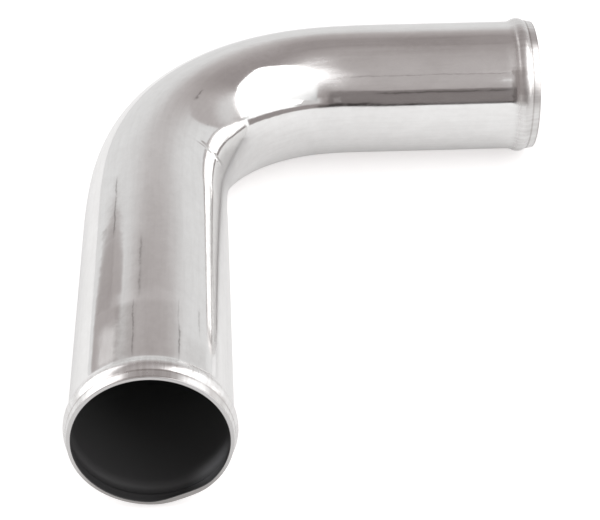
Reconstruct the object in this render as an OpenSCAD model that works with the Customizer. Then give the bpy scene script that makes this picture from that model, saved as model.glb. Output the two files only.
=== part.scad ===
// Bent aluminium hose pipe: one length of round tube, bent once between two straight
// legs, with a rolled bead behind a short plain lip at each end.
//
// The origin is the centre of the long leg's mouth. The long leg runs along +Y, the
// tube then turns towards +X, and both legs lie in the XY plane.

/* [Tube] */
// Outside diameter of the tube
tube_od = 76; // [60:1:90]
// Thickness of the tube's wall
wall = 2; // [1.5:0.1:3]
// Rounding of the two edges of each rim
rim_r = 0.4; // [0.2:0.1:0.7]

/* [Bend] */
// Radius of the bend, to the middle of the tube
bend_r = 112; // [80:1:200]
// Angle that the bend turns the tube through
bend_angle = 90; // [30:1:120]

/* [Legs] */
// Straight length of the long leg, from its mouth to the bend
long_leg = 205; // [80:1:400]
// Straight length of the short leg, from the bend to its mouth
short_leg = 110; // [60:1:300]

/* [Beads] */
// Plain lip between each mouth and its bead
lip = 4.2; // [4.2:0.2:15]
// Height of the crest above the tube
bead_h = 1.7; // [0.8:0.1:2.5]
// Radius of the crest's arc, outside
crest_r = 6; // [4.5:0.5:9]
// Radius of the fillet between bead and lip, outside
front_r = 1.5; // [0.5:0.25:3]
// Radius of the fillet between bead and leg, outside
rear_r = 7; // [2:0.5:12]

/* [Dented lip] */
// Place of the dent round the long leg's mouth, in degrees: 0 is the outer side of the
// bend and 90 is the top
dent_turn = 248; // [0:1:360]
// How far the dent goes back from the rim
dent_reach = 3.8; // [2:0.1:4.1]
// Radius that the round of the lip is flattened to
dent_r = 75; // [60:1:200]
// Depth of the dent on the outside of the rim
dent_outside = 0.7; // [0.3:0.1:1.2]
// Depth of the dent on the inside of the rim, where the edge is turned in as well
dent_inside = 1.7; // [0.8:0.1:2.4]

/* [Hidden] */
$fn = 144;

metal = "silver";
outer_r = tube_od / 2;
bore_r = outer_r - wall;
// The crest's arc and a fillet's arc run into each other by this much
nip = 0.005;
bead_at = lip + flank_w(crest_r, front_r);
// The bore is cut past each mouth by this much
overcut = 1;

// Width of one side of a bead, from its crest to the end of its fillet
function flank_w(crest, fillet) =
    sqrt((crest + fillet - nip) ^ 2 - (crest + fillet - bead_h) ^ 2);

// The foot of one side of a bead, in half section: what its fillet leaves between the
// crest's arc and the wall of radius r
module foot(r, crest, fillet) {
    w = flank_w(crest, fillet);
    difference() {
        polygon([[0, 0], [r + bead_h - crest, 0], [r + fillet, w], [0, w]]);
        translate([r + fillet, w]) circle(fillet);
    }
}

// Half section of a leg, filled to the axis, with its mouth at y = 0
module leg_section(length, r, crest, front, rear) {
    square([r, length]);
    translate([0, bead_at]) {
        translate([r + bead_h - crest, 0]) circle(crest);
        foot(r, crest, rear);
        mirror([0, 1]) foot(r, crest, front);
    }
}

// What rounding takes off a square corner at the origin, with its metal at +x and +y
module corner() {
    difference() {
        square(rim_r);
        translate([rim_r, rim_r]) circle(rim_r);
    }
}

module leg_outside(length) {
    rotate_extrude() difference() {
        leg_section(length, outer_r, crest_r, front_r, rear_r);
        translate([outer_r, 0]) mirror([1, 0]) corner();
    }
}

// The bead is rolled out of the wall, so the bore follows it at the wall's thickness
module leg_inside(length) {
    rotate_extrude() {
        leg_section(length, bore_r, crest_r - wall, front_r + wall, rear_r + wall);
        translate([bore_r, 0]) corner();
        translate([0, -overcut]) square([bore_r + rim_r, overcut]);
    }
}

// What the dent takes off a round of radius r at a mouth: all that lies outside a wide
// cylinder, tipped so that it meets the round where the dent ends
module dent(r, depth) {
    rotate([0, 0, dent_turn]) difference() {
        translate([0, -r, -overcut]) cube([2 * r, 2 * r, lip + overcut]);
        translate([r - depth, 0, 0]) rotate([0, atan(depth / dent_reach), 0])
            translate([-dent_r, 0, 0]) cylinder(h = 2 * tube_od, r = dent_r, center = true);
    }
}

// The bend, as a solid round bar of radius r
module bend(r) {
    translate([bend_r, long_leg, 0]) rotate([0, 0, 180 - bend_angle])
        rotate_extrude(angle = bend_angle) translate([bend_r, 0]) circle(r);
}

// Each mouth's own frame: z = 0 at the mouth, with +z into the tube and +x to the outer
// side of the bend
module at_long_mouth() {
    rotate([90, 0, 180]) children();
}

module at_short_mouth() {
    translate([bend_r, long_leg, 0]) rotate([0, 0, -bend_angle])
        translate([-bend_r, short_leg, 0]) rotate([90, 180, 0]) children();
}

module pipe_bend() {
    color(metal) difference() {
        union() {
            bend(outer_r);
            at_short_mouth() leg_outside(short_leg);
            at_long_mouth() difference() {
                leg_outside(long_leg);
                dent(outer_r, dent_outside);
            }
        }
        bend(bore_r);
        at_short_mouth() leg_inside(short_leg);
        at_long_mouth() difference() {
            leg_inside(long_leg);
            dent(bore_r, dent_inside);
        }
    }
}

pipe_bend();
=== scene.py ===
import math
from math import cos, sin, radians

import bmesh
import bpy
from mathutils import Matrix, Vector


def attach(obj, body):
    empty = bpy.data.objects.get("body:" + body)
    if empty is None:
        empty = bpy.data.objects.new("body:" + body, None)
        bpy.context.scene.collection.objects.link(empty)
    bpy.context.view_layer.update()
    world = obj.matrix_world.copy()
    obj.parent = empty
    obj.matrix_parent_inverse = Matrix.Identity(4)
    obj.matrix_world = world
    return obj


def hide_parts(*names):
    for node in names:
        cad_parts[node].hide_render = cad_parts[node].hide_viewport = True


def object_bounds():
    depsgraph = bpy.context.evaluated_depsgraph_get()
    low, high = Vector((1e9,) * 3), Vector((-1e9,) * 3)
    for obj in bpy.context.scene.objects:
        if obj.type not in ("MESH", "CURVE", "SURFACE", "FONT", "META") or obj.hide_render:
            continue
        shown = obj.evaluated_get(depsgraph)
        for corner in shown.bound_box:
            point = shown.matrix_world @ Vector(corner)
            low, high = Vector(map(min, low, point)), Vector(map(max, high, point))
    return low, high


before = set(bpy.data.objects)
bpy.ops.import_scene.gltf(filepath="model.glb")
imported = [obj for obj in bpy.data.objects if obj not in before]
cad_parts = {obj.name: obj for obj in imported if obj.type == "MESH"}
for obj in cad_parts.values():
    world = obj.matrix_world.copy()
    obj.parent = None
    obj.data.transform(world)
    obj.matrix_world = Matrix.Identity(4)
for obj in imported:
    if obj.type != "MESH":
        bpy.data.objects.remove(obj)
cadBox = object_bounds()
floorLevel = cadBox[0][2]  # the pipe lies on the undersides of its two beads

# Focal length in mm on a 36 mm sensor, place in m, turns in degrees
cameraPlan = {
    "place": (0.0361, -0.6039, 0.51987),
    "down": 34.93,
    "towardsRight": 2.945,
    "lens": 105.71,
    "sensor": 36,
    "farthest": 100,
}


def makeCamera(plan):
    data = bpy.data.cameras.new("camera")
    data.sensor_width = plan["sensor"]
    data.lens = plan["lens"]
    data.clip_end = plan["farthest"]
    camera = bpy.data.objects.new("camera", data)
    camera.location = plan["place"]
    camera.rotation_euler = (radians(90 - plan["down"]), 0, radians(-plan["towardsRight"]))
    bpy.context.scene.collection.objects.link(camera)
    bpy.context.scene.camera = camera


makeCamera(cameraPlan)
print("camera placed")


# One socket of a node tree. Arithmetic on it adds Math nodes, and node() adds any other.
class Wire:
    def __init__(self, tree, socket=None):
        self.tree = tree
        self.socket = socket

    def node(self, kind, settings={}, inputs={}, out=0):
        made = self.tree.nodes.new("ShaderNode" + kind)
        for name, value in settings.items():
            if name == "stops":
                self.setStops(made.color_ramp, value)
            else:
                setattr(made, name, value)
        for key, value in inputs.items():
            if isinstance(value, Wire):
                self.tree.links.new(value.socket, made.inputs[key])
            else:
                made.inputs[key].default_value = value
        return Wire(self.tree, made.outputs[out])

    def setStops(self, ramp, stops):
        while len(ramp.elements) < len(stops):
            ramp.elements.new(1)
        for element, (place, level) in zip(ramp.elements, stops):
            element.position = place
            element.color = (level, level, level, 1)

    def maths(self, operation, *values):
        return self.node("Math", {"operation": operation}, dict(enumerate(values)))

    def __add__(self, other):
        return self.maths("ADD", self, other)

    def __radd__(self, other):
        return self.maths("ADD", other, self)

    def __sub__(self, other):
        return self.maths("SUBTRACT", self, other)

    def __rsub__(self, other):
        return self.maths("SUBTRACT", other, self)

    def __mul__(self, other):
        return self.maths("MULTIPLY", self, other)

    def __rmul__(self, other):
        return self.maths("MULTIPLY", other, self)

    def __truediv__(self, other):
        return self.maths("DIVIDE", self, other)

    def __rtruediv__(self, other):
        return self.maths("DIVIDE", other, self)

    def above(self, level, soft):  # 0 below the level, 1 above it, with a soft edge
        return self.node("MapRange", {"interpolation_type": "SMOOTHSTEP"},
                         {"Value": self, "From Min": level - soft, "From Max": level + soft})

    def within(self, low, high, soft):
        return self.above(low, soft) * (1 - self.above(high, soft))

    def towards(self, other, amount):  # blends two levels
        return self + (other - self) * amount

    def upToOne(self):
        return self.maths("MINIMUM", self, 1)

    def distanceTo(self, place):
        return self.maths("ABSOLUTE", self - place)


def newTree(owner):
    owner.use_nodes = True
    owner.node_tree.nodes.clear()
    return Wire(owner.node_tree)


def linkSurface(tree, shader, kind="Material"):
    output = tree.tree.nodes.new("ShaderNodeOutput" + kind)
    tree.tree.links.new(shader.socket, output.inputs["Surface"])


def blend(tree, first, second, amount):  # mixes two colours
    return tree.node("Mix", {"data_type": "RGBA"}, {"Factor": amount, "A": first, "B": second},
                     out="Result")


def rayIs(tree, *kinds):  # 1 for a ray of any of these kinds
    total = 0
    for kind in kinds:
        total = tree.node("LightPath", out=kind) + total
    return total.upToOne()


def placeStage(name, bm):
    mesh = bpy.data.meshes.new(name)
    bm.to_mesh(mesh)
    bm.free()
    mesh.materials.append(bpy.data.materials.new(name))
    thing = bpy.data.objects.new(name, mesh)
    bpy.context.scene.collection.objects.link(thing)
    return thing


def onlyMirrored(thing):  # the metal shows it, but it is neither seen nor does it light anything
    thing.visible_camera = False
    thing.visible_diffuse = False
    thing.visible_shadow = False
    thing.visible_volume_scatter = False
    thing.data.materials[0].cycles.emission_sampling = "NONE"


# A pale floor that glows a little, so that it shows as white, and an even light. Lengths in m.
studioPlan = {
    "floorRadius": 0.7,
    "floorPlace": (0.1, 0.16),
    "floorShade": 0.6,
    "floorGlow": (1.02, 0.99, 0.985, 1),
    "floorSeen": 0.55,  # how strong the glow is to the camera
    "floorMirrored": 0.2,  # and in the metal
    "fillLight": 0.8,
}

# Each softbox by its place, its size, and the way from the pipe to it in degrees, where a turn
# of 0 looks along +Y and 90 along +X
softboxes = {
    "softboxRight": {"place": (2.957, -1.053, 2.59), "size": (4.95, 4.49), "turn": 102.8, "rise": 33.2},
    "softboxLeft": {"place": (-3.42, 1.11, 1.95), "size": (4.5, 3.2), "turn": -72, "rise": 28.5},
}
softboxGlow = 1.6  # how bright a softbox is, and the lit part of the card


def makeFloor(plan):
    bm = bmesh.new()
    bmesh.ops.create_circle(bm, cap_ends=True, segments=96, radius=plan["floorRadius"],
                            matrix=Matrix.Translation((*plan["floorPlace"], floorLevel)))
    floor = placeStage("floor", bm)
    tree = newTree(floor.data.materials[0])
    shade = plan["floorShade"]
    matt = tree.node("BsdfDiffuse", {}, {"Color": (shade, shade, shade, 1)})
    level = rayIs(tree, "Is Camera Ray") * plan["floorSeen"] + \
        rayIs(tree, "Is Glossy Ray", "Is Transmission Ray") * plan["floorMirrored"]
    glow = tree.node("Emission", {}, {"Color": plan["floorGlow"], "Strength": level})
    linkSurface(tree, tree.node("AddShader", {}, {0: matt, 1: glow}))


def makeWorld(plan):
    world = bpy.data.worlds.new("studio")
    bpy.context.scene.world = world
    tree = newTree(world)
    seen = rayIs(tree, "Is Camera Ray", "Is Glossy Ray", "Is Transmission Ray")
    level = seen + (1 - seen) * plan["fillLight"]
    linkSurface(tree, tree.node("Background", {}, {"Color": (1, 1, 1, 1), "Strength": level}), "World")


def makeSoftbox(name, plan):
    data = bpy.data.lights.new(name, "AREA")
    data.shape = "RECTANGLE"
    data.size, data.size_y = plan["size"]
    data.energy = softboxGlow * math.pi * data.size * data.size_y
    lamp = bpy.data.objects.new(name, data)
    turn, rise = radians(plan["turn"]), radians(plan["rise"])
    facing = Vector((sin(turn) * cos(rise), cos(turn) * cos(rise), sin(rise)))
    lamp.location = plan["place"]
    lamp.rotation_euler = facing.to_track_quat("Z", "Y").to_euler()
    bpy.context.scene.collection.objects.link(lamp)


# What the polished metal mirrors: the studio's walls, its panels and the table's far edge.
# A level of 1 is white, before the strength. Turns and rises are in degrees: two numbers are
# an edge and its softness, and three are a low edge, a high edge and their softness.
roomPlan = {
    "radius": 20,  # in m
    "strength": 0.867,
    # Each wall's levels, from the horizon to straight above, and the front wall's two ends
    "frontWall": [(0, 0.9), (0.16, 0.89), (0.24, 0.85), (0.3, 0.775), (0.345, 0.65), (0.38, 0.57),
                  (0.43, 0.5), (0.51, 0.43), (0.57, 0.375), (0.74, 0.37), (0.83, 0.45), (1, 0.47)],
    "backWall": [(0, 0.45), (0.19, 0.454), (0.27, 0.505), (0.49, 0.54), (0.7, 0.52), (1, 0.48)],
    "frontFrom": (-100, 30),
    "frontTo": (70, 30),
    # A grey panel that leans between the front wall and the right softbox, darker high up and
    # with a glow on it
    "panelLean": 0.92,
    "panelFrom": (56.2, 0.7),
    "panelTo": (90, 8),
    "panelRise": (5, 66, 2),
    "panelShades": (0.54, 0.38),
    "panelDarkens": (34, 48),
    "panelGlow": 0.22,
    "glowTurn": (54, 74, 8),
    "glowRise": (8, 36, 6),
    # The dark frame of the left softbox
    "frameLevel": 0.486,
    "frameLean": 0.4,
    "frameFrom": (-46, 1),
    "frameTo": (-36, 0.6),
    "frameRise": (-1, 24, 1),
    # Strips along the table's edge: level, turn and rise
    "strips": [
        (1.45, (39, 84, 0.6), (-4.5, 5, 0.4)),
        (1.5, (84, 134, 6), (3.5, 12, 0.5)),
        (0.75, (137, 160, 4), (3.5, 14, 2)),
        (0.34, (84, 166, 0.6), (-4.5, 3.3, 0.4)),
    ],
    # A dark block behind the camera, its darker foot, and the ground below the table's edge
    "blockLevel": 0.25,
    "blockFrom": (165, 0.6),
    "blockTo": (-170, 1),
    "blockRise": (-7, 25, 0.7),
    "footLevel": 0.11,
    "footRise": (-7, 0.5, 0.7),
    "groundLevel": 0.87,
    "groundRise": (-4.5, 0.3),
    "groundAtBlock": (-7, 0.3),
    # The greys are a little warm, and fade to white
    "warmGrey": (1.06, 0.955, 0.94, 1),
    "whiteFrom": (0.62, 0.34),
}


def makeRoom(plan):
    bm = bmesh.new()
    bmesh.ops.create_uvsphere(bm, u_segments=96, v_segments=48, radius=plan["radius"])
    bmesh.ops.reverse_faces(bm, faces=bm.faces)
    room = placeStage("roomShade", bm)
    onlyMirrored(room)
    tree = newTree(room.data.materials[0])
    place = tree.node("TexCoord", out="Object")
    ray = tree.node("VectorMath", {"operation": "NORMALIZE"}, {0: place})
    x, y, z = (tree.node("SeparateXYZ", {}, {0: ray}, out=axis) for axis in range(3))
    turn = tree.maths("ARCTAN2", x, y) * (180 / math.pi)
    rise = tree.maths("ARCSINE", z) * (180 / math.pi)

    front = tree.node("ValToRGB", {"stops": plan["frontWall"]}, {0: rise / 90})
    back = tree.node("ValToRGB", {"stops": plan["backWall"]}, {0: rise / 90})
    level = front.towards(back, turn.above(*plan["frontTo"]) + (1 - turn.above(*plan["frontFrom"])))

    panel = (turn + rise * plan["panelLean"]).above(*plan["panelFrom"])
    panel = panel * (1 - turn.above(*plan["panelTo"])) * rise.within(*plan["panelRise"])
    shadeLow, shadeHigh = plan["panelShades"]
    darkensFrom, darkensTo = plan["panelDarkens"]
    shade = tree.node("MapRange", {"interpolation_type": "SMOOTHSTEP"},
                      {"Value": rise, "From Min": darkensFrom, "From Max": darkensTo,
                       "To Min": shadeLow, "To Max": shadeHigh})
    glow = turn.within(*plan["glowTurn"]) * rise.within(*plan["glowRise"]) * plan["panelGlow"]
    level = level.towards(shade + glow, panel)

    frameEdge = turn - rise * plan["frameLean"]
    wedge = (1 - frameEdge.above(*plan["frameTo"])) * frameEdge.above(*plan["frameFrom"])
    level = level.towards(plan["frameLevel"], wedge * rise.within(*plan["frameRise"]))

    for stripLevel, stripTurn, stripRise in plan["strips"]:
        level = level.towards(stripLevel, turn.within(*stripTurn) * rise.within(*stripRise))

    block = turn.above(*plan["blockFrom"]) + (1 - turn.above(*plan["blockTo"]))
    level = level.towards(plan["blockLevel"], block * rise.within(*plan["blockRise"]))
    level = level.towards(plan["footLevel"], block * rise.within(*plan["footRise"]))
    ground = 1 - rise.above(*plan["groundRise"])
    ground = ground * (1 - block * rise.above(*plan["groundAtBlock"]))
    level = level.towards(plan["groundLevel"], ground)

    tint = blend(tree, plan["warmGrey"], (1, 1, 1, 1), level.above(*plan["whiteFrom"]))
    linkSurface(tree, tree.node("Emission", {}, {"Color": tint, "Strength": level * plan["strength"]}))


# A white card that stands to the right of the open mouth of the long leg. Its light falls off
# towards the camera and the floor, along a slanted line. Lengths in m.
cardPlan = {
    "place": (0.3, 0.06, 0.24),
    "size": (0.49, 0.3),
    "slant": 0.9,
    "fadeAt": 0.135,
    "fadeSoft": 0.34,
    "dim": 0.45,
}


def makeCard(plan):
    bm = bmesh.new()
    bmesh.ops.create_grid(bm, size=0.5)
    bmesh.ops.scale(bm, vec=(*plan["size"], 1), verts=bm.verts)
    bmesh.ops.rotate(bm, matrix=Matrix.Rotation(radians(90), 3, "X"), verts=bm.verts)
    bmesh.ops.rotate(bm, matrix=Matrix.Rotation(radians(90), 3, "Z"), verts=bm.verts)
    bmesh.ops.translate(bm, vec=plan["place"], verts=bm.verts)
    card = placeStage("whiteCard", bm)
    onlyMirrored(card)
    tree = newTree(card.data.materials[0])
    place = tree.node("TexCoord", out="Object")
    y, z = (tree.node("SeparateXYZ", {}, {0: place}, out=axis) for axis in (1, 2))
    lit = (y + z * plan["slant"]).above(plan["fadeAt"], plan["fadeSoft"])
    level = lit * (softboxGlow - plan["dim"]) + plan["dim"]
    linkSurface(tree, tree.node("Emission", {}, {"Strength": level}))


makeFloor(studioPlan)
makeWorld(studioPlan)
for name, plan in softboxes.items():
    makeSoftbox(name, plan)
makeRoom(roomPlan)
makeCard(cardPlan)
print("studio made")

# In mm, and turns in degrees round the tube, where 0 is the outer side of the bend and 90 the top
pipePlan = {
    "outerR": 38,
    "wall": 2,
    "rimR": 0.4,
    "lip": 4.2,
    "nearTaper": 0.15,
    "farTaper": 0.18,
    "taperFade": 4.7,
    "beadHigh": 1.7,
    "crestR": 6,
    "frontR": 1.5,
    "rearR": 7,
    "longLeg": 211.47,
    "shortLeg": 115.23,
    "bendR": 104.515,
    "easeIn": 76,
    "easeOut": 47,
    "flatOutside": 1.61,
    "flatInside": 1.47,
    "dentTurn": 248,
    # The dent's depth at the rim, its half width in degrees and its reach from the mouth
    "dentOutside": (0.7, 19, 4.2),
    "dentInside": (1.7, 27, 4.4),
    "stepsRound": 168,
    # From a bead to the middle of the tube
    "stepsOutside": 92,
    "stepsInside": 48,
}
pipeLong = pipePlan["longLeg"] + pipePlan["bendR"] * math.pi / 2 + pipePlan["shortLeg"]

# The unrolled tube's map: mm along the tube to one unit, the share for once round the tube,
# its margin, and where the bore's half of the map starts
sheetLong = 500
sheetRound = 0.48
sheetMargin = 0.01
sheetBore = 0.5


# The pen draws a section in the XY plane: x is the radius, y the way along the tube. It takes
# the vertex it stands on and gives back the one it ends on.
def penLine(bm, tip, x, y, steps=1):
    start = tip.co.copy()
    for i in range(steps):
        tip = bmesh.ops.extrude_vert_indiv(bm, verts=[tip])["verts"][0]
        tip.co = start.lerp(Vector((x, y, 0)), (i + 1) / steps)
    return tip


def penArc(bm, tip, x, y, degrees, steps):
    swept = bmesh.ops.spin(bm, geom=[tip], cent=(x, y, 0), axis=(0, 0, 1), angle=radians(degrees),
                           steps=steps, use_duplicate=False)
    return [v for v in swept["geom_last"] if isinstance(v, bmesh.types.BMVert)][0]


# One side of the wall, from the mouth over the bead and on to the middle of the tube, y = 0
def drawWall(bm, tip, plan, mouth, r, crest, front, rear, steps):
    high = plan["beadHigh"]
    frontTurn = math.degrees(math.acos((crest + front - high) / (crest + front)))
    rearTurn = math.degrees(math.acos((crest + rear - high) / (crest + rear)))
    lipEnd = mouth + plan["lip"]
    beadAt = lipEnd + (crest + front) * sin(radians(frontTurn))
    rearAt = beadAt + (crest + rear) * sin(radians(rearTurn))
    tip = penLine(bm, tip, r, lipEnd, 3)
    tip = penArc(bm, tip, r + front, lipEnd, -frontTurn, 6)
    tip = penArc(bm, tip, r + high - crest, beadAt, frontTurn + rearTurn, 14)
    tip = penArc(bm, tip, r + rear, rearAt, -rearTurn, 8)
    return penLine(bm, tip, r, 0, steps)


# The tube before it is bent: half of its section, mirrored to the other mouth and spun
def spinTube(plan):
    outer, wall, rim = plan["outerR"], plan["wall"], plan["rimR"]
    bore = outer - wall
    mouth = -pipeLong / 2
    bm = bmesh.new()
    start = bm.verts.new((outer, mouth + rim, 0))
    drawWall(bm, start, plan, mouth, outer, plan["crestR"], plan["frontR"], plan["rearR"],
             plan["stepsOutside"])
    tip = penArc(bm, start, outer - rim, mouth + rim, -90, 4)
    tip = penLine(bm, tip, bore + rim, mouth, 2)
    tip = penArc(bm, tip, bore + rim, mouth + rim, -90, 4)
    drawWall(bm, tip, plan, mouth, bore, plan["crestR"] - wall, plan["frontR"] + wall,
             plan["rearR"] + wall, plan["stepsInside"])
    bmesh.ops.mirror(bm, geom=bm.verts[:] + bm.edges[:], merge_dist=0.001, axis="Y")
    bmesh.ops.translate(bm, vec=(0, pipeLong / 2, 0), verts=bm.verts)
    bmesh.ops.spin(bm, geom=bm.verts[:] + bm.edges[:], cent=(0, 0, 0), axis=(0, 1, 0),
                   angle=radians(360), steps=plan["stepsRound"], use_merge=True)
    bmesh.ops.remove_doubles(bm, verts=bm.verts, dist=0.0005)
    bmesh.ops.recalc_face_normals(bm, faces=bm.faces)
    return bm


# The pattern's map: along the tube, and round it from the seam underneath
def layMap(bm):
    def aroundFromSeam(point):
        return (math.degrees(math.atan2(point.z, point.x)) + 90) % 360

    sheet = bm.loops.layers.uv.new("sheet")
    for face in bm.faces:
        middle = face.calc_center_median()
        inner = sheetBore if face.normal.dot(Vector((middle.x, 0, middle.z))) < 0 else 0
        around = aroundFromSeam(middle)
        for loop in face.loops:
            here = aroundFromSeam(loop.vert.co)
            here += 360 * round((around - here) / 360)
            loop[sheet].uv = (loop.vert.co.y / sheetLong,
                              here / 360 * sheetRound + inner + sheetMargin)


# The bent centre line: x, y, heading and how far the bend has its full radius, at each length s
def centreLine(plan):
    bendEnd = plan["longLeg"] + plan["bendR"] * math.pi / 2

    def ease(s):  # 0 on the legs, 1 where the bend has its full radius
        into = (s - plan["longLeg"]) / plan["easeIn"] + 0.5
        out = (s - bendEnd) / plan["easeOut"] + 0.5
        return min(max(into, 0), 1) - min(max(out, 0), 1)

    step = 0.25
    heading, x, y, places = 0, 0, 0, []
    for i in range(int(pipeLong / step) + 2):
        places.append((x, y, heading, ease(i * step)))
        bent = ease((i + 0.5) * step) * step / plan["bendR"]
        x += sin(heading + bent / 2) * step
        y += cos(heading + bent / 2) * step
        heading += bent

    def at(s):
        s = min(max(s, 0), pipeLong) / step
        a, b = places[int(s)], places[int(s) + 1]
        return [p + (q - p) * (s - int(s)) for p, q in zip(a, b)]

    return at


def lipTaper(plan, s):  # how far a lip is drawn in, which dies out over the front of its bead
    fromMouth = min(s, pipeLong - s)
    taper = plan["nearTaper"] if s < pipeLong / 2 else plan["farTaper"]
    if fromMouth < plan["lip"]:
        return (plan["lip"] / 2 - fromMouth) * taper
    return -plan["lip"] / 2 * taper * max(1 - (fromMouth - plan["lip"]) / plan["taperFade"], 0)


def lipDent(plan, s, turn, inside):  # how far the knock pushes the near lip in
    deep, wide, reach = plan["dentInside"] if inside else plan["dentOutside"]
    off = min(abs(turn - plan["dentTurn"]) / wide, 1)
    back = min(s / reach, 1)
    return deep * (1 - off * off) ** 2 * (1 - back) ** 1.2


# Moves each point of the straight tube: its lip's taper and dent, its flattening and the bend
def bendTube(bm, plan):
    at = centreLine(plan)
    for vert in bm.verts:
        side, s, up = vert.co
        r = math.hypot(side, up)
        turn = math.degrees(math.atan2(up, side)) % 360
        inside = r < plan["outerR"] - plan["wall"] / 2
        shrink = (1 - lipTaper(plan, s) / r) * (1 - lipDent(plan, s, turn, inside) / r)
        x, y, heading, bent = at(s)
        flat = plan["flatOutside"] if side > 0 else plan["flatInside"]
        shrink *= 1 - bent * flat * cos(radians(turn)) ** 2 / plan["outerR"]
        side, up = side * shrink, up * shrink
        vert.co = (x - side * cos(heading), y + side * sin(heading), up)
    bmesh.ops.scale(bm, vec=(0.001, 0.001, 0.001), verts=bm.verts)
    bmesh.ops.recalc_face_normals(bm, faces=bm.faces)


def makePipe(plan):
    bm = spinTube(plan)
    print("pipe: spun, closed:", all(len(e.link_faces) == 2 for e in bm.edges))
    layMap(bm)
    bendTube(bm, plan)
    for face in bm.faces:
        face.smooth = True
    mesh = bpy.data.meshes.new("pipeBend")
    bm.to_mesh(mesh)
    print("pipe:", len(bm.faces), "faces")
    bm.free()
    pipe = bpy.data.objects.new("pipeBend", mesh)
    bpy.context.scene.collection.objects.link(pipe)
    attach(pipe, "root")
    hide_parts("pipe_bend")
    return pipe


pipe = makePipe(pipePlan)
print("pipe made")

# Places along the tube, widths and the depths of the bumps are in mm
metalPlan = {
    "colour": (0.9, 0.896, 0.891, 1),
    # This colour darkens stains, painted reflections, the painted shade behind each lip and the dark
    # line along the rim's edge; the bright one below gives paler tones and painted sheen
    "stainAndShade": (0.53, 0.508, 0.496, 1),
    "bright": (1, 1, 0.995, 1),
    "scratch": (0.16, 0.15, 0.144, 1),
    "roughness": 0.05,
    "haze": 0.3,
    "endRoughness": 0.2,
    "rimColour": (0.63, 0.62, 0.615, 1),
    # The rim face, painted darker on its lower side as painted shade
    "rimUnderside": (0.43, 0.413, 0.402, 1),
    "rimRoughness": 0.35,
    "boreColour": (0.042, 0.041, 0.042, 1),
    # A painted gleam low inside the near mouth, and paler colour deeper in the bore, painted to lift
    # its shade
    "boreGleamColour": (0.16, 0.16, 0.165, 1),
    "boreDeep": (0.085, 0.085, 0.085, 1),
    "boreRoughness": 0.6,
    "grainDeep": 0.0012,
    "waveDeep": 0.045,
    "rippleDeep": 0.003,
    "rolledEnd": 14,
    # Painted shade in the crease behind each lip, and the width of a dark line painted along the rim's
    # edge
    "grooveFrom": 3.9,
    "grooveTo": 4.8,
    "edgeWide": 0.9,
    "ridgeAt": 213,
    "ridgeWide": 3.4,
    "ridgeTurn": (124, 158, 12),
    "ridgeDeep": 0.25,
}

# The noises on the skin: width and length of their waves in mm, a shift that sets each apart,
# detail and roughness
skinNoises = {
    "grain": (0.9, 70, 0, 3, 0.5),
    "wave": (9, 15, 7, 2, 0.5),
    "ripple": (2.2, 3, 9, 2, 0.5),
    "streak": (2.2, 40, 3, 3, 0.6),
    "cloud": (12, 16, 11, 4, 0.6),
    "mottle": (3.5, 5, 17, 3, 0.6),
    "fleck": (1.6, 2.4, 13, 2, 0.5),
    "wander": (60, 14, 5, 2, 0.5),
    "drag": (2, 24, 23, 3, 0.6),
}

# Thin dark lines left by the bending tool: start and end along the tube in mm, place round it
# in degrees, half width in mm, how dark
toolLines = [
    (16, 58, 79.5, 0.5, 0.5),
    (62, 110, 83, 0.8, 0.4),
    (15, 41, 111.5, 0.5, 0.65),
    (40, 60, 111.3, 0.4, 0.25),
    (38, 60, 127.5, 0.5, 0.35),
    (118, 172, 60.5, 0.6, 0.55),
    (40, 190, 141.8, 0.5, 0.3),
    (250, 258, 109.5, 0.8, 0.9),
    (255, 266, 109, 0.5, 0.5),
    (233, 239, 130, 0.5, 0.5),
    (378, 476, 140, 0.4, 0.3),
    (350, 398, 164.4, 1.1, 0.9),
    (392, 424, 165.4, 0.7, 0.8),
    (395, 474, 155, 0.7, 0.55),
    (469, 472, 184, 0.7, 0.4),
    (4.5, 10.5, 120.5, 0.3, 0.7),
    (5.5, 11.5, 124.5, 0.25, 0.6),
    (3, 9, 101, 0.25, 0.4),
]

# Each cloudy patch is partly stains and partly painted reflections of the studio: low and high
# along the tube in mm, low and high round it in degrees, the softness of each, and how dark.
# Below 0 a patch is painted sheen: brighter, and hazy.
stainAndReflectionPatches = [
    (10, 57, 80, 111, 3, 1, 0.13),
    (66, 150, 82, 113, 16, 2, 0.09),
    (12, 56, 66, 80, 3, 3, 0.45),
    (13, 44, 53, 69, 7, 5, -0.6),
    (62, 112, 78, 88, 8, 4, 0.16),
    (58, 127, 50, 62, 1.5, 0.8, 0.22),
    (121, 128, 48.5, 53, 1.5, 1, 0.3),
    (57, 66, 62, 112, 2.5, 6, -0.3),
    (14, 32, 117, 134, 5, 4, 0.22),
    (290, 345, 84, 108, 18, 6, -0.7),
    (356, 366, 145, 163, 3, 3, 0.3),
    (366, 372, 157, 162, 1.2, 1.2, -0.5),
    (366, 388, 134, 152, 9, 5, -0.4),
    (408, 452, 98, 120, 12, 6, 0.14),
    (396, 424, 120, 139, 10, 6, -0.2),
    (436, 470, 124, 136, 10, 5, -0.2),
    (472, 477, 112, 137, 2, 6, -0.3),
    (474.5, 482.5, 137, 167, 1, 3, 0.75),
    (476.5, 483, 98, 140, 1.5, 8, 0.15),
    (347, 373, 117, 149, 12, 7, -0.85),
    (388, 468, 157, 166, 10, 1.5, -0.12),
    (482, 492, 149, 171, 0.5, 4, 0.5),
    (482, 492, 171, 200, 0.5, 5, 0.16),
    (0.6, 5.5, 136, 152, 0.8, 4, 0.5),
    (1.2, 4.4, 122, 138, 0.6, 4, 0.3),
    (256, 282, 116, 148, 6, 6, -0.3),
]


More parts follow.
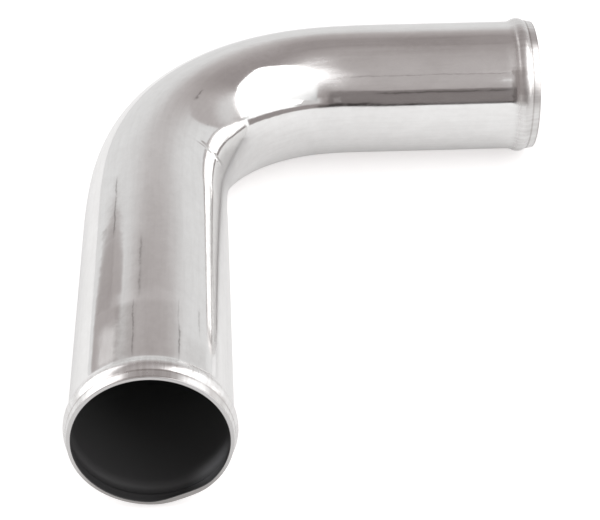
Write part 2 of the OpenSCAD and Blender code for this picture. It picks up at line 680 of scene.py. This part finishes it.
# The tool lines, each with a dark core and a paler halo; wander bends them, in mm
def drawLines(along, turn, wander):
    lines = 0
    halo = 0
    for start, end, place, wide, dark in toolLines:
        off = ((turn - place) * (pipePlan["outerR"] * math.pi / 180) + wander).distanceTo(0)
        reach = along.within(start + 2, end - 2, min((end - start) * 0.25, 6))
        lines = (1 - off.above(wide * 0.6, wide * 0.8)) * reach * dark + lines
        halo = (1 - off.above(wide * 1.5, wide * 2.5)) * reach * dark + halo
    return lines, halo


def makeAluminium(plan):
    material = bpy.data.materials.new("bareAluminium")
    tree = newTree(material)
    sheet = tree.node("UVMap", {"uv_map": "sheet"})
    along = tree.node("SeparateXYZ", {}, {0: sheet}, out=0) * sheetLong
    across = tree.node("SeparateXYZ", {}, {0: sheet}, out=1)
    bore = across.above(sheetBore, 0.001)
    turn = (across - bore * sheetBore - sheetMargin) * (360 / sheetRound) - 90  # round the tube
    arc = turn * (math.pi / 180)
    side = tree.maths("COSINE", arc) * pipePlan["outerR"]
    up = tree.maths("SINE", arc) * pipePlan["outerR"]

    def noise(name):
        wide, long, shift, detail, roughness = skinNoises[name]
        skin = tree.node("CombineXYZ", {}, {0: along / long + shift, 1: side / wide, 2: up / wide})
        return tree.node("TexNoise", {}, {"Vector": skin, "Scale": 1.0, "Detail": detail,
                                          "Roughness": roughness}, out=0)

    grain, streak, cloud = noise("grain"), noise("streak"), noise("cloud")
    mottle, fleck = noise("mottle"), noise("fleck")

    # Stains, tool lines, and each patch: the dark ones partly painted reflections, the bright ones
    # painted sheen
    wander = (noise("wander") - 0.5) * 1.6 + (fleck - 0.5) * 0.8
    lines, halo = drawLines(along, turn, wander)
    lines = lines * (mottle.above(0.42, 0.14) * 0.7 + 0.3)
    dark = cloud.above(0.5, 0.16) * 0.05 + streak.above(0.55, 0.14) * 0.07 + \
        mottle.above(0.5, 0.2) * 0.07 + halo * 0.35
    light = (1 - cloud.above(0.42, 0.12)) * 0.1
    scuff = 0
    jagged = (fleck - 0.5) * 2 + (mottle - 0.5) * 5
    # A dark patch adds stains and painted reflections, a bright one adds painted sheen and haze
    for start, end, low, high, softAlong, softRound, share in stainAndReflectionPatches:
        patch = (along + jagged).within(start, end, softAlong) * \
            (turn + jagged).within(low, high, softRound)
        if share > 0:
            dark = patch * (mottle * 0.8 + 0.6) * share + dark
        else:
            light = patch * (streak * 0.8 + 0.6) * -share + light
            scuff = patch * (streak * 0.9 + 0.3) * -share + scuff
    dark = dark.upToOne()
    colour = blend(tree, plan["colour"], plan["bright"], light.upToOne())
    colour = blend(tree, colour, plan["stainAndShade"], dark)
    colour = blend(tree, colour, plan["scratch"], lines.upToOne())

    # The rolled ends, with drag marks, painted shade in the crease behind each lip, a dark line painted
    # along the rim's edge, and painted shade on the rim's lower side
    fromMouth = tree.maths("MINIMUM", along, pipeLong - along)
    rim = 1 - fromMouth.above(0.35, 0.15)
    rolled = 1 - fromMouth.above(plan["rolledEnd"], 2)
    drag = noise("drag").above(0.5, 0.2) * rolled
    grooveShade = fromMouth.within(plan["grooveFrom"], plan["grooveTo"], 0.3)
    edge = 1 - fromMouth.above(plan["edgeWide"], 0.2)
    colour = blend(tree, colour, plan["stainAndShade"], (drag * 0.38 + grooveShade * 0.7 + edge * 0.6).upToOne())
    # Painted shade: the rim face is darker on its lower side
    shadedBelow = 1 - (up / pipePlan["outerR"]).above(-0.5, 0.3)
    colour = blend(tree, colour, blend(tree, plan["rimColour"], plan["rimUnderside"], shadedBelow), rim)

    # The bore, dull and dark, with a painted gleam low inside the near mouth, and painted paler deeper
    # in, which lifts its shade
    boreGleam = along.within(2, 15, 5) * turn.within(203, 236, 12)
    hollow = blend(tree, plan["boreColour"], plan["boreDeep"], fromMouth.above(35, 30))
    colour = blend(tree, colour, blend(tree, hollow, plan["boreGleamColour"], boreGleam), bore)

    rough = grain * 0.02 + mottle * 0.03 + plan["roughness"] + dark * 0.06 + \
        rolled * plan["endRoughness"] + scuff * plan["haze"]
    rough = rough.towards(plan["rimRoughness"], rim).towards(plan["boreRoughness"], bore)

    # The bumps: grain, slow waves, ripples and the crease at the start of the bend
    ridge = 1 - (along.distanceTo(plan["ridgeAt"]) / plan["ridgeWide"]).above(0.5, 0.5)
    ridge = ridge * turn.within(*plan["ridgeTurn"])
    height = grain * plan["grainDeep"] + noise("wave") * plan["waveDeep"] + \
        noise("ripple") * plan["rippleDeep"] + ridge * plan["ridgeDeep"]
    bump = tree.node("Bump", {}, {"Strength": 1.0, "Distance": 0.001, "Height": height}, out=0)
    linkSurface(tree, tree.node("BsdfPrincipled", {}, {"Metallic": 1 - bore, "Base Color": colour,
                                                       "Roughness": rough, "Normal": bump}))
    return material


pipe.data.materials.append(makeAluminium(metalPlan))
print("aluminium made")

bpy.context.scene.view_settings.view_transform = "Standard"
